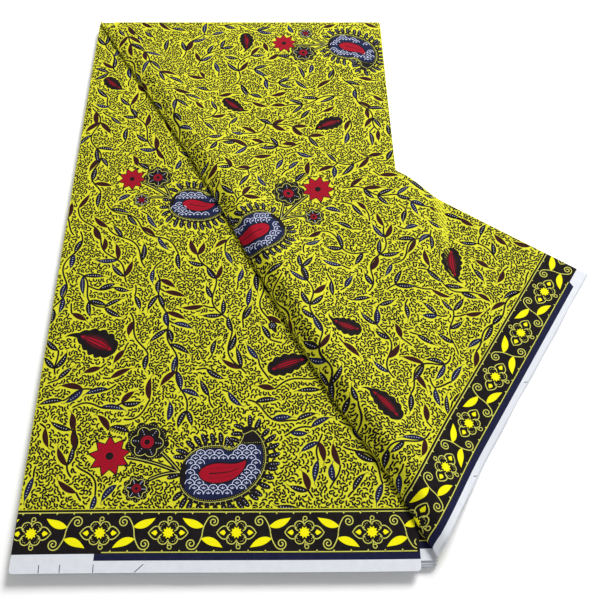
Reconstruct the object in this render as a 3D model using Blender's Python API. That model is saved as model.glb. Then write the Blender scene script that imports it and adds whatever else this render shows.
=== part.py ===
"""A length of printed cotton, folded flat with one corner turned back.

The doubled cloth is pleated into a flat stack. Each panel of the stack is two plies thick, closed
at the back and open at the front selvedges. The top panel's front corner is turned back along
a diagonal, so that it lies over the stack, hangs over its right edge and rests on the surface.

x runs across the stack, y runs away from the front selvedges, and z is up.
"""

import math

import bpy

# Driving sizes of the folded stack, in metres
STACK_WIDTH = 0.311
STACK_DEPTH = 0.584
PANEL_WALL = 0.0012
PANEL_GAP = 0.0003

# The panels that nothing shows of but their edges
HIDDEN_PANELS = 4
HIDDEN_PITCH = 0.0014
HIDDEN_EDGE = 0.0005
HIDDEN_LEVELS = 4

# How far each hidden panel's edges lie inside the stack's outline, from the surface up
HIDDEN_INSETS = (
    {"left": 0.0018, "right": 0.0010, "front": 0.0022, "back": 0.0006},
    {"left": 0.0006, "right": 0.0019, "front": 0.0011, "back": 0.0015},
    {"left": 0.0014, "right": 0.0004, "front": 0.0026, "back": 0.0004},
    {"left": 0.0004, "right": 0.0013, "front": 0.0015, "back": 0.0012},
)

# Where the panels that show end, inside the stack's outline
UNDER_FRONT_SETBACK = 0.0045
LEFT_FRONT_RIGHT_INSET = 0.0140
TOP_FRONT_RIGHT_INSET = 0.0040

# Outline and edge shape of a panel
CORNER_RADIUS = 0.0030
CORNER_STEPS = 4
EDGE_STEPS = 12
EDGE_WAVE = 0.0004
PANEL_EDGE = 0.0004

# The roll along the diagonal where the top panel turns back
ROLL_REACH = 0.0100
ROLL_LIP = 0.0020
ROLL_STEPS = 6
RISE_WIDTH = 0.0480
RISE_STEPS = 8
ROLL_RISES = (
    {"along": 0.00, "rise": 0.0012},
    {"along": 0.14, "rise": 0.0038},
    {"along": 0.40, "rise": 0.0062},
    {"along": 0.64, "rise": 0.0080},
    {"along": 0.88, "rise": 0.0076},
    {"along": 1.00, "rise": 0.0044},
)
CREASE_BOWS = (
    {"start": 0.00, "end": 0.74, "depth": 0.0055},
    {"start": 0.76, "end": 1.00, "depth": 0.0045},
)
BOW_FADE = 0.090

# The turned flap beyond the stack's right edge
DROP_START = 0.0070
DROP_WIDTH = 0.0370
HANG_START = 0.0060
HANG_ROWS = 22
HANG_COLUMNS = 36
FLAP_ROWS = 6
FLAP_COLUMNS = 32
ROLL_COLUMNS = 50

# Heights, from the surface up
HIDDEN_TOP = HIDDEN_PANELS * HIDDEN_PITCH
UNDER_BOTTOM = HIDDEN_TOP + PANEL_GAP
LEFT_BOTTOM = UNDER_BOTTOM + PANEL_WALL + PANEL_GAP
TOP_BOTTOM = LEFT_BOTTOM + PANEL_WALL + PANEL_GAP
FLAP_BOTTOM = TOP_BOTTOM + PANEL_WALL + PANEL_GAP
FLAP_TOP = FLAP_BOTTOM + PANEL_WALL

# The diagonal from the stack's back left corner to the crease's front end
CREASE_END_X = STACK_WIDTH - TOP_FRONT_RIGHT_INSET
CREASE_LENGTH = math.hypot(CREASE_END_X, STACK_DEPTH)
CREASE_COS = CREASE_END_X / CREASE_LENGTH
CREASE_SIN = STACK_DEPTH / CREASE_LENGTH
FLAP_REACH = STACK_DEPTH * CREASE_COS

# Linear colours of the printed cloth
GROUND_YELLOW = (0.66, 0.64, 0.02, 1.0)
SHADED_YELLOW = (0.50, 0.49, 0.03, 1.0)
EDGE_YELLOW = (0.44, 0.44, 0.10, 1.0)
COTTON_ROUGHNESS = 0.78


def clear_scene():
    """Removes every object that the file opened with."""
    for old in list(bpy.data.objects):
        bpy.data.objects.remove(old)


def cotton(name, colour):
    """The printed cotton's finish."""
    material = bpy.data.materials.new(name)
    material.use_nodes = True
    shader = material.node_tree.nodes["Principled BSDF"]
    shader.inputs["Base Color"].default_value = colour
    shader.inputs["Roughness"].default_value = COTTON_ROUGHNESS
    shader.inputs["Metallic"].default_value = 0.0
    return material


def add_piece(name, points, faces, colour):
    """A named, smooth-shaded closed piece."""
    mesh = bpy.data.meshes.new(name)
    mesh.from_pydata(points, [], faces)
    mesh.validate()
    mesh.materials.append(cotton(name + "_cotton", colour))
    mesh.shade_smooth()
    mesh.set_sharp_from_angle(angle=math.radians(50.0))
    piece = bpy.data.objects.new(name, mesh)
    bpy.context.scene.collection.objects.link(piece)
    return piece


def lofted(name, rings, colour):
    """A closed solid through rings of equal length, each counter-clockwise from above, bottom first."""
    count = len(rings[0])
    points = [point for ring in rings for point in ring]
    faces = [tuple(reversed(range(count)))]
    for level in range(len(rings) - 1):
        low = level * count
        high = low + count
        for i in range(count):
            j = (i + 1) % count
            faces.append((low + i, low + j, high + j, high + i))
    top = (len(rings) - 1) * count
    faces.append(tuple(range(top, top + count)))
    return add_piece(name, points, faces, colour)


def rounded_outline(corners, radius):
    """Corner points, counter-clockwise, with each corner rounded and each edge gently uneven."""
    outline = []
    total = len(corners)
    for index, corner in enumerate(corners):
        before = corners[index - 1]
        after = corners[(index + 1) % total]
        start = toward(corner, before, radius)
        end = toward(corner, after, radius)
        for step in range(CORNER_STEPS + 1):
            t = step / CORNER_STEPS
            outline.append(bend(start, corner, end, t))
        finish = toward(after, corner, radius)
        for step in range(1, EDGE_STEPS):
            t = step / EDGE_STEPS
            outline.append(uneven(end, finish, t, index))
    return outline


def toward(point, other, distance):
    """The point at a distance from one point on the way to another."""
    length = math.dist(point, other)
    share = distance / length
    return (
        point[0] + (other[0] - point[0]) * share,
        point[1] + (other[1] - point[1]) * share,
    )


def bend(start, middle, end, t):
    """A point on the quadratic curve that rounds a corner."""
    a = (1.0 - t) ** 2
    b = 2.0 * t * (1.0 - t)
    c = t**2
    return (
        a * start[0] + b * middle[0] + c * end[0],
        a * start[1] + b * middle[1] + c * end[1],
    )


def uneven(start, end, t, phase):
    """A point along a cloth edge that wanders inward by a fraction of a millimetre."""
    length = math.dist(start, end)
    inward_x = -(end[1] - start[1]) / length
    inward_y = (end[0] - start[0]) / length
    wave = EDGE_WAVE * math.sin(math.pi * t) * (1.0 + math.sin(9.0 * t + 2.0 * phase)) / 2.0
    return (
        start[0] + (end[0] - start[0]) * t + inward_x * wave,
        start[1] + (end[1] - start[1]) * t + inward_y * wave,
    )


def shrunk(outline, inset, height):
    """The outline drawn in by an inset, as a ring at a height."""
    ring = []
    total = len(outline)
    for index in range(total):
        before = outline[index - 1]
        after = outline[(index + 1) % total]
        length = math.dist(before, after)
        inward_x = -(after[1] - before[1]) / length
        inward_y = (after[0] - before[0]) / length
        x, y = outline[index]
        ring.append((x + inward_x * inset, y + inward_y * inset, height))
    return ring


def panel(name, corners, bottom, colour):
    """One doubled panel with soft edges."""
    outline = rounded_outline(corners, CORNER_RADIUS)
    rings = [
        shrunk(outline, PANEL_EDGE, bottom),
        shrunk(outline, 0.0, bottom + PANEL_WALL * 0.35),
        shrunk(outline, 0.0, bottom + PANEL_WALL * 0.65),
        shrunk(outline, PANEL_EDGE, bottom + PANEL_WALL),
    ]
    return lofted(name, rings, colour)


def stack_corners(left, right, front, back):
    """The stack's outline, drawn in on each side, counter-clockwise from the front left."""
    return [
        (left, front - STACK_DEPTH),
        (STACK_WIDTH - right, front - STACK_DEPTH),
        (STACK_WIDTH - right, -back),
        (left, -back),
    ]


def hidden_layers():
    """The pleated panels below, as one solid whose edges show each folded panel."""
    rings = []
    for layer, inset in enumerate(HIDDEN_INSETS):
        corners = stack_corners(inset["left"], inset["right"], inset["front"], inset["back"])
        outline = rounded_outline(corners, CORNER_RADIUS)
        first = 0 if layer == 0 else 1
        for level in range(first, HIDDEN_LEVELS + 1):
            t = level / HIDDEN_LEVELS
            bulge = math.sqrt(1.0 - (2.0 * t - 1.0) ** 2)
            height = (layer + t) * HIDDEN_PITCH
            rings.append(shrunk(outline, HIDDEN_EDGE * (1.0 - bulge), height))
    return lofted("hidden_layers", rings, EDGE_YELLOW)


def under_panel():
    """The panel below the left one, whose front right corner shows, set back."""
    corners = [
        (0.0009, -STACK_DEPTH + 0.0006),
        (STACK_WIDTH - 0.0002, -STACK_DEPTH + UNDER_FRONT_SETBACK),
        (STACK_WIDTH - 0.0002, -0.0008),
        (0.0009, -0.0008),
    ]
    return panel("under_panel", corners, UNDER_BOTTOM, SHADED_YELLOW)


def left_panel():
    """The panel that shows left of the diagonal crease."""
    corners = [
        (0.0, -STACK_DEPTH),
        (STACK_WIDTH - LEFT_FRONT_RIGHT_INSET, -STACK_DEPTH),
        (STACK_WIDTH - 0.0008, -0.0004),
        (0.0, -0.0004),
    ]
    return panel("left_panel", corners, LEFT_BOTTOM, GROUND_YELLOW)


def smooth(t):
    """A soft step from 0 to 1."""
    t = min(max(t, 0.0), 1.0)
    return t * t * (3.0 - 2.0 * t)


def roll_rise(along):
    """How far the roll stands above the flat flap at a share of the crease's length."""
    for low, high in zip(ROLL_RISES, ROLL_RISES[1:]):
        if along <= high["along"]:
            t = (along - low["along"]) / (high["along"] - low["along"])
            return low["rise"] + (high["rise"] - low["rise"]) * smooth(t)
    return ROLL_RISES[-1]["rise"]


def crease_bow(along):
    """How far the crease bows towards the flap at a share of its length."""
    for bow in CREASE_BOWS:
        if bow["start"] < along < bow["end"]:
            t = (along - bow["start"]) / (bow["end"] - bow["start"])
            return bow["depth"] * math.sin(math.pi * t) ** 2
    return 0.0


def in_plan(s, out):
    """The plan point at s along the crease and out from it towards the stack's back right."""
    bow = crease_bow(s / CREASE_LENGTH) * (1.0 - smooth(out / BOW_FADE))
    x = s * CREASE_COS + (out + bow) * CREASE_SIN
    y = -s * CREASE_SIN + (out + bow) * CREASE_COS
    return x, y


def flap_height(x):
    """The height of the flap's upper face, which falls from the stack to the surface."""
    t = (x - STACK_WIDTH - DROP_START) / DROP_WIDTH
    return FLAP_TOP + (PANEL_WALL - FLAP_TOP) * smooth(t)


def quarter_length(s):
    """The length of cloth from the roll's outermost line to its top."""
    half_height = (FLAP_TOP + roll_rise(s / CREASE_LENGTH) - TOP_BOTTOM) / 2.0
    return math.pi / 2.0 * math.sqrt((ROLL_REACH**2 + half_height**2) / 2.0)


MIDDLE_QUARTER = quarter_length(CREASE_LENGTH / 2.0)


def fold_point(s, u, depth):
    """The turned sheet at s along the crease and u round from it, at a depth below its outer face.

    u is negative on the part that is still under the roll.
    """
    rise = roll_rise(s / CREASE_LENGTH)
    half_height = (FLAP_TOP + rise - TOP_BOTTOM) / 2.0
    middle = (FLAP_TOP + rise + TOP_BOTTOM) / 2.0
    quarter = quarter_length(s)
    past = abs(u) - quarter
    if past < 0.0:
        angle = math.pi / 2.0 * u / quarter
        out = ROLL_REACH - (ROLL_REACH - depth) * math.cos(angle)
        x, y = in_plan(s, out)
        return x, y, middle + (half_height - depth) * math.sin(angle)
    out = ROLL_REACH + past
    x, y = in_plan(s, out)
    if u < 0.0:
        return x, y, TOP_BOTTOM + depth
    swell = rise * (1.0 + math.cos(math.pi * min(past / RISE_WIDTH, 1.0))) / 2.0
    return x, y, flap_height(x) + swell - depth


def sheet_limits(u):
    """Where the cloth's back and front edges cut a line that runs u round from the crease."""
    steep = CREASE_SIN / CREASE_COS
    shallow = CREASE_COS / CREASE_SIN
    if u >= 0.0:
        return u * steep, CREASE_LENGTH - u * shallow
    return -u * shallow, CREASE_LENGTH + u * steep


def roll_rows():
    """Each row round the roll: its quarters, and its length beyond them."""
    rows = [(-1.0, -ROLL_LIP)]
    for step in range(-ROLL_STEPS, ROLL_STEPS + 1):
        rows.append((step / ROLL_STEPS, 0.0))
    return rows


def swell_rows():
    """Rows down the swell, from the roll's top to where the flap lies flat."""
    width = RISE_WIDTH - PANEL_GAP
    return [(1.0, PANEL_GAP + width * step / RISE_STEPS) for step in range(RISE_STEPS + 1)]


def rows_beyond_roll(reach, count):
    """Rows from the end of the roll's swell to a reach from the crease."""
    first = RISE_WIDTH + PANEL_GAP
    last = reach - MIDDLE_QUARTER
    return [(1.0, first + (last - first) * step / count) for step in range(count + 1)]


def hang_line(row):
    """Where a row crosses the line at which the sheet starts to hang, along the crease."""
    out = ROLL_REACH + row[1]
    s = 0.0
    for _ in range(6):
        bow = crease_bow(s / CREASE_LENGTH) * (1.0 - smooth(out / BOW_FADE))
        s = (STACK_WIDTH + HANG_START - (out + bow) * CREASE_SIN) / CREASE_COS
    return s


def row_limits(row):
    """Where the cloth's back and front edges cut a row."""
    quarters, beyond = row
    return sheet_limits(quarters * MIDDLE_QUARTER + beyond)


def row_points(row, limits, depth, columns):
    """Points along one row of the turned sheet, between two limits along the crease."""
    quarters, beyond = row
    start, end = limits
    points = []
    for column in range(columns + 1):
        s = start + (end - start) * (column / columns if columns else 0.5)
        points.append(fold_point(s, quarters * quarter_length(s) + beyond, depth))
    return points


def turned_sheet(name, rows, limits, columns, tip):
    """A stretch of the turned sheet, of the rows given, whose last row may be a tip."""
    last = len(rows) - 1
    points = []
    for depth in (0.0, PANEL_WALL):
        for index, (row, limit) in enumerate(zip(rows, limits)):
            points += row_points(row, limit, depth, 0 if tip and index == last else columns)
    width = columns + 1
    inner = len(points) // 2
    full = last - 1 if tip else last
    faces = []
    for row in range(full):
        for column in range(columns):
            a = row * width + column
            b = a + 1
            c = b + width
            d = a + width
            faces.append((a, b, c, d))
            faces.append((inner + d, inner + c, inner + b, inner + a))
    rim = list(range(width))
    rim += [row * width + columns for row in range(1, full + 1)]
    if tip:
        point = inner - 1
        for column in range(columns):
            a = full * width + column
            faces.append((a, a + 1, point))
            faces.append((inner + point, inner + a + 1, inner + a))
        rim += [point, full * width]
    else:
        rim += [full * width + column for column in range(columns - 1, -1, -1)]
    rim += [row * width for row in range(full - 1, 0, -1)]
    for a, b in zip(rim, rim[1:] + rim[:1]):
        faces.append((b, a, inner + a, inner + b))
    return add_piece(name, points, faces, GROUND_YELLOW)


def crease_roll():
    """The roll along the crease, from under it to its top."""
    rows = roll_rows()
    limits = [row_limits(row) for row in rows]
    return turned_sheet("crease_roll", rows, limits, ROLL_COLUMNS, False)


def crease_swell():
    """The swell behind the roll, down to where the flap lies flat."""
    rows = swell_rows()
    limits = [row_limits(row) for row in rows]
    return turned_sheet("crease_swell", rows, limits, ROLL_COLUMNS, False)


def turned_flap():
    """The stretch of the turned corner that lies flat on the stack."""
    steep = CREASE_SIN / CREASE_COS
    reach = (STACK_WIDTH + HANG_START) / (steep * CREASE_COS + CREASE_SIN)
    rows = rows_beyond_roll(reach, FLAP_ROWS)
    limits = [(row_limits(row)[0], hang_line(row) - PANEL_GAP) for row in rows]
    return turned_sheet("turned_flap", rows, limits, FLAP_COLUMNS, True)


def hanging_corner():
    """The stretch beyond the stack's right edge, down to the tip on the surface."""
    rows = rows_beyond_roll(FLAP_REACH, HANG_ROWS)
    limits = []
    for row in rows:
        start, end = row_limits(row)
        limits.append((max(start, hang_line(row) + PANEL_GAP), end))
    return turned_sheet("hanging_corner", rows, limits, HANG_COLUMNS, True)


def top_panel():
    """What is left of the top panel right of the crease, up to the roll's seam."""
    out = ROLL_REACH + ROLL_LIP + PANEL_GAP
    first = out * CREASE_COS / CREASE_SIN
    last = CREASE_LENGTH - (out + CORNER_RADIUS) * CREASE_SIN / CREASE_COS - 2.0 * CORNER_RADIUS
    steps = 5 * EDGE_STEPS
    outline = []
    for step in range(steps + 1):
        s = first + (last - first) * step / steps
        outline.append(in_plan(s, out))
    start = outline[0]
    end = outline[-1]
    right = (STACK_WIDTH - TOP_FRONT_RIGHT_INSET, end[1] + CORNER_RADIUS)
    back_right = (STACK_WIDTH, 0.0)
    back_left = (start[0] + CORNER_RADIUS, 0.0)
    for step in range(EDGE_STEPS + 1):
        t = step / EDGE_STEPS
        outline.append(
            (right[0] + (back_right[0] - right[0]) * t, right[1] + (-CORNER_RADIUS - right[1]) * t)
        )
    inner_corner = (STACK_WIDTH - CORNER_RADIUS, 0.0)
    for step in range(1, CORNER_STEPS + 1):
        t = step / CORNER_STEPS
        outline.append(bend((STACK_WIDTH, -CORNER_RADIUS), back_right, inner_corner, t))
    for step in range(1, EDGE_STEPS + 1):
        t = step / EDGE_STEPS
        outline.append(uneven(inner_corner, back_left, t, 0))
    rings = [
        shrunk(outline, PANEL_EDGE, TOP_BOTTOM),
        shrunk(outline, 0.0, TOP_BOTTOM + PANEL_WALL * 0.35),
        shrunk(outline, 0.0, TOP_BOTTOM + PANEL_WALL * 0.65),
        shrunk(outline, PANEL_EDGE, TOP_BOTTOM + PANEL_WALL),
    ]
    return lofted("top_panel", rings, GROUND_YELLOW)


def centre_on_footprint(pieces):
    """Moves all points so that the footprint's centre is over the origin."""
    points = [vertex.co for piece in pieces for vertex in piece.data.vertices]
    middle_x = (min(p.x for p in points) + max(p.x for p in points)) / 2.0
    middle_y = (min(p.y for p in points) + max(p.y for p in points)) / 2.0
    for piece in pieces:
        for vertex in piece.data.vertices:
            vertex.co.x -= middle_x
            vertex.co.y -= middle_y
        piece.data.update()


clear_scene()
centre_on_footprint(
    [
        hidden_layers(),
        under_panel(),
        left_panel(),
        top_panel(),
        crease_roll(),
        crease_swell(),
        turned_flap(),
        hanging_corner(),
    ]
)
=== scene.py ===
"""The looks of a printed cotton length, folded flat with one corner turned back.

Each stretch of cloth is a thin shell. Its cloth coordinates are a, along the selvedge, and b, in from
the selvedge. The print is drawn in those coordinates, in millimetres, and laid on the shells.
"""

import math
import random

import bmesh
import bpy
import numpy as np
from mathutils import Matrix, Vector, geometry, noise


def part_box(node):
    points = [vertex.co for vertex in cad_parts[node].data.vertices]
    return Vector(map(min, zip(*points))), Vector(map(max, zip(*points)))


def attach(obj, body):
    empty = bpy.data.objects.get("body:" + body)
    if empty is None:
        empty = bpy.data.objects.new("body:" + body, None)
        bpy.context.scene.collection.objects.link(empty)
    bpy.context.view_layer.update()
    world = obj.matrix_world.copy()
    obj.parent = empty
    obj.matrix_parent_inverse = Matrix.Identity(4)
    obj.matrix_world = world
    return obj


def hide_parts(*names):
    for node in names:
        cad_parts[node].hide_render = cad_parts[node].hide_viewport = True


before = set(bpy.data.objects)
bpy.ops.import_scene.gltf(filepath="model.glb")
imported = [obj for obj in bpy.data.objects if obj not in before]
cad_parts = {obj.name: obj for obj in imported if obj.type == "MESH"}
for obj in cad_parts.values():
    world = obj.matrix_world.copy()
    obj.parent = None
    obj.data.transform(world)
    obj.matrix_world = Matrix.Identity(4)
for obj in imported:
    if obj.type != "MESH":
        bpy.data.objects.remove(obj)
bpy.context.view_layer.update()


def table(columns, *rows):
    """Rows with named columns."""
    return [dict(zip(columns.split(), row)) for row in rows]


# The folded stack and its panels' upper faces, in metres
STACK_WIDTH = 0.311
STACK_DEPTH = 0.584
WALL = 0.0012
CORNER_RADIUS = 0.003
STACK_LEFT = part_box("left_panel")[0].x
STACK_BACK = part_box("left_panel")[1].y + 0.0004
HIDDEN_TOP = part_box("hidden_layers")[1].z
UNDER_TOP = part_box("under_panel")[1].z
LEFT_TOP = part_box("left_panel")[1].z
TOP_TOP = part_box("top_panel")[1].z
FLAP_TOP = TOP_TOP + WALL + 0.0003

# The diagonal crease from the back left corner to the front right corner
CREASE_END_X = STACK_WIDTH - 0.004
CREASE_LENGTH = math.hypot(CREASE_END_X, STACK_DEPTH)
CREASE_COS = CREASE_END_X / CREASE_LENGTH
CREASE_SIN = STACK_DEPTH / CREASE_LENGTH
CREASE_BOWS = table("start end depth", (0, 0.74, 0.0055), (0.76, 1, 0.0045))
BOW_FADE = 0.09
END_SHIFT = 0.0045
END_SHIFT_FROM = 0.84

# The turned corner's reach, its roll, and how much narrower than the solid its white edge is drawn
FLAP_REACH = STACK_DEPTH * CREASE_COS
ROLL_REACH = 0.01
ROLL_LIP = 0.002
RISE_WIDTH = 0.048
FLAP_TRIM = 0.0036
ROLL_RISES = table(
    "along rise",
    (0, 0.0012), (0.14, 0.0038), (0.4, 0.0062), (0.64, 0.008), (0.88, 0.0076), (1, 0.0044),
)

# The roll's crest: its place out from the crease, its spread each way and its share of the rise
CREST_PLACE = 0.015
CREST_BEFORE = 0.009
CREST_BEYOND = 0.04
CREST_SHARE = 0.92
BASE_SHARE = 0.4

# Where the turned corner drops from the stack to the floor, past the stack's right edge
DROP_START = 0.007
DROP_WIDTH = 0.037

# The border's zones, as distances in from the selvedge, in metres
SELVEDGE = 0.0086
STRIPE = 0.0135
BAND = 0.0455
LEFT_STRIPE_START = 0.062
FLAP_STRIPE_END = 0.289

# The border's pattern and the field's limits, in millimetres
FLOWER_REPEAT = 50.3
BAND_MIDDLE = 28.3
LEFT_FLOWER_START = 11.9
FLAP_FLOWER_START = 16.3
WIDTH_MM = STACK_WIDTH * 1000
DEPTH_MM = STACK_DEPTH * 1000
BAND_MM = BAND * 1000

# How far forward the left panel's front right corner is drawn, and the side's slant
LEFT_ADVANCE = 0.0032
LEFT_NARROW = 0.014
LEFT_SLANT = (LEFT_NARROW - 0.0008) / STACK_DEPTH

# Soft unevenness of the lying cloth: a ridge's middle, its direction in degrees, and its sizes
RIDGE_COLUMNS = "x y turn length width height"
LEFT_RIDGES = table(
    RIDGE_COLUMNS,
    (0.06, -0.42, 68, 0.13, 0.02, 0.0006),
    (0.15, -0.5, 24, 0.09, 0.018, 0.0005),
    (0.035, -0.21, 96, 0.09, 0.016, 0.0004),
    (0.11, -0.33, 118, 0.08, 0.022, 0.0006),
)
TOP_RIDGES = table(
    RIDGE_COLUMNS,
    (0.23, -0.06, 150, 0.07, 0.018, 0.0005),
    (0.12, -0.03, 170, 0.05, 0.015, 0.0004),
)
FLAP_RIDGES = table(
    RIDGE_COLUMNS,
    (0.205, -0.29, 120, 0.12, 0.022, 0.0009),
    (0.255, -0.2, 140, 0.09, 0.026, 0.0008),
    (0.3, -0.37, 60, 0.08, 0.02, 0.0007),
    (0.13, -0.15, 132, 0.08, 0.016, 0.0005),
)

# Linear colours of the dyes, each a usual and a weaker shade
YELLOW = ((0.64, 0.632, 0.017), (0.565, 0.557, 0.014))
BRIGHT = ((0.86, 0.8, 0.003), (0.8, 0.74, 0.003))
BLACK = ((0.006, 0.004, 0.005), (0.0105, 0.008, 0.009))
NAVY = ((0.0065, 0.008, 0.033), (0.011, 0.013, 0.046))
BODY_BLUE = ((0.007, 0.011, 0.04), (0.011, 0.0165, 0.056))
MAROON = ((0.024, 0.0045, 0.0055), (0.036, 0.0075, 0.008))
WINE = ((0.11, 0.005, 0.013), (0.085, 0.005, 0.012))
RED = ((0.36, 0.003, 0.016), (0.28, 0.004, 0.016))
PALE = ((0.6, 0.6, 0.11), (0.52, 0.52, 0.09))
LILAC = ((0.6, 0.64, 0.82), (0.52, 0.56, 0.74))
WHITE = ((0.67, 0.69, 0.73), (0.61, 0.63, 0.68))

# Each dye's record slot, and its height over the cloth in steps
DYE_ROWS = table(
    "dye colours slot step",
    ("scribble", BLACK, "dark_print", 1),
    ("black", BLACK, "dark_print", 1),
    ("navy", NAVY, "navy_print", 1),
    ("maroon", MAROON, "maroon_print", 1),
    ("blue", BODY_BLUE, "navy_print", 2),
    ("wine", WINE, "maroon_print", 2),
    ("red", RED, "red_print", 3),
    ("bright", BRIGHT, "printed_cotton", 3),
    ("pale", PALE, "pale_print", 4),
    ("lilac", LILAC, "pale_print", 4),
    ("ink", BLACK, "dark_print", 5),
    ("spark", BRIGHT, "printed_cotton", 6),
)
DYES = {row["dye"]: row for row in DYE_ROWS}
DYE_STEP = 0.00004
FIT_TOLERANCE = 0.000015
MAX_SPLITS = 12


def smooth(t):
    """A soft step from 0 to 1."""
    t = np.clip(t, 0, 1)
    return t * t * (3 - 2 * t)


def unit(vectors):
    """Vectors made one long."""
    return vectors / np.maximum(np.linalg.norm(vectors, axis=1), 1e-12)[:, None]


def roll_rise(along):
    """How far the roll stands above the flat flap at a share of the crease's length."""
    rise = np.where(along > 1, ROLL_RISES[-1]["rise"], ROLL_RISES[0]["rise"])
    for low, high in zip(ROLL_RISES, ROLL_RISES[1:]):
        t = (along - low["along"]) / (high["along"] - low["along"])
        inside = (t > 0) & (t <= 1)
        rise = np.where(inside, low["rise"] + (high["rise"] - low["rise"]) * smooth(t), rise)
    return rise


def crease_bow(along):
    """How far the crease bows towards the flap at a share of its length."""
    total = END_SHIFT * smooth((along - END_SHIFT_FROM) / (1 - END_SHIFT_FROM))
    for bow in CREASE_BOWS:
        t = np.clip((along - bow["start"]) / (bow["end"] - bow["start"]), 0, 1)
        total = total + bow["depth"] * np.sin(math.pi * t) ** 2
    return total


def in_plan(s, out):
    """The plan point at s along the crease and out from it towards the stack's back right."""
    reach = out + crease_bow(s / CREASE_LENGTH) * (1 - smooth(out / BOW_FADE))
    return s * CREASE_COS + reach * CREASE_SIN, -s * CREASE_SIN + reach * CREASE_COS


def ridges(rows, x, y):
    """The height of the cloth's soft ridges over a plan point."""
    height = np.zeros_like(x)
    for row in rows:
        turn = math.radians(row["turn"])
        dx, dy = x - row["x"], y - row["y"]
        along = dx * math.cos(turn) + dy * math.sin(turn)
        off = dy * math.cos(turn) - dx * math.sin(turn) - 0.006 * np.sin(along / 0.031 + row["turn"])
        height = height + row["height"] * np.exp(-(off / row["width"]) ** 2 - (along / row["length"]) ** 2)
    return height


def quarter_length(s):
    """The length of cloth from the roll's outermost line to its top."""
    half_height = (FLAP_TOP + BASE_SHARE * roll_rise(s / CREASE_LENGTH) - TOP_TOP + WALL) / 2
    return math.pi / 2 * np.sqrt((ROLL_REACH**2 + half_height**2) / 2)


# That length at the crease's middle
MIDDLE_QUARTER = float(quarter_length(np.array(CREASE_LENGTH / 2)))


def fold_point(s, u, depth):
    """The turned sheet at s along the crease and u round from it, at a depth below its outer face."""
    rise = roll_rise(s / CREASE_LENGTH)
    base = BASE_SHARE * rise
    low = TOP_TOP - WALL
    half_height = (FLAP_TOP + base - low) / 2
    quarter = quarter_length(s)
    past = np.abs(u) - quarter
    angle = math.pi / 2 * np.clip(u / quarter, -1, 1)
    round_out = ROLL_REACH - (ROLL_REACH - depth) * np.cos(angle)
    out = np.where(past < 0, round_out, ROLL_REACH + past)
    x, y = in_plan(s, out)
    fall = smooth((x - STACK_WIDTH - DROP_START) / DROP_WIDTH)
    swell = base * (1 + np.cos(math.pi * np.clip(past / RISE_WIDTH, 0, 1))) / 2
    uneven = ridges(FLAP_RIDGES, x, y) * smooth(past / 0.03) * (1 - fall)
    width = np.where(out < CREST_PLACE, CREST_BEFORE, CREST_BEYOND)
    crest = CREST_SHARE * rise * np.exp(-(((out - CREST_PLACE) / width) ** 2))
    upper = FLAP_TOP + (WALL - FLAP_TOP) * fall + swell + uneven + crest - depth
    rolled = low + half_height + (half_height - depth) * np.sin(angle) + crest * smooth(angle / 1.2)
    z = np.where(past < 0, rolled, np.where(u < 0, low + depth, upper))
    return np.stack([x, y, z], axis=-1)


def flap_surface(a, b, depth=0):
    """The turned corner's outer face, or the face at a depth below it."""
    s = CREASE_LENGTH - a * CREASE_COS - b * CREASE_SIN
    return fold_point(s, a * CREASE_SIN - b * CREASE_COS, depth)


def left_surface(a, b, depth=0):
    """The panel left of the crease, with its soft ridges. Its front right corner is drawn forward."""
    y = b - STACK_DEPTH - LEFT_ADVANCE * smooth(a / STACK_WIDTH) * (1 - smooth(b / 0.3))
    open_side = smooth(-(a * CREASE_SIN + y * CREASE_COS) / 0.03)
    z = LEFT_TOP + ridges(LEFT_RIDGES, a, y) * open_side - depth
    return np.stack([a, y, z], axis=-1)


def beyond_edge(x, y):
    """How far a plan point lies past the turned corner's back edge."""
    return x * (1 - 2 * CREASE_COS**2) + y * 2 * CREASE_SIN * CREASE_COS


def top_surface(a, b, depth=0):
    """What is left of the top panel behind the turned corner."""
    y = b - STACK_DEPTH
    z = TOP_TOP + ridges(TOP_RIDGES, a, y) * smooth(beyond_edge(a, y) / 0.02) - depth
    return np.stack([a, y, z], axis=-1)


def under_surface(a, b, depth=0):
    """The panel below the left one, set back a little at its front right corner."""
    setback = (0.0006 + 0.0039 * a / STACK_WIDTH) * (1 - smooth(b / 0.3))
    return np.stack([a, b - STACK_DEPTH + setback, UNDER_TOP - depth + 0 * a], axis=-1)


def node(tree, kind, values, links):
    """A new node with its constant inputs and its linked inputs."""
    made = tree.nodes.new(kind)
    for socket, value in values.items():
        made.inputs[socket].default_value = value
    for socket, source in links.items():
        tree.links.new(source, made.inputs[socket])
    return made


def ramp(tree, factor, *stops):
    """A colour ramp between two stops, each a position and a colour."""
    made = node(tree, "ShaderNodeValToRGB", {}, {"Fac": factor})
    for element, (position, colour) in zip(made.color_ramp.elements, stops):
        element.position = position
        element.color = (*colour, 1)
    return made.outputs["Color"]


def threads(tree, place, way):
    """Threads in one direction, as a wave texture."""
    wave = node(tree, "ShaderNodeTexWave", {"Scale": 440, "Distortion": 0.6, "Detail": 1}, place)
    wave.wave_type = "BANDS"
    wave.bands_direction = way
    return wave.outputs["Fac"]


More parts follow.
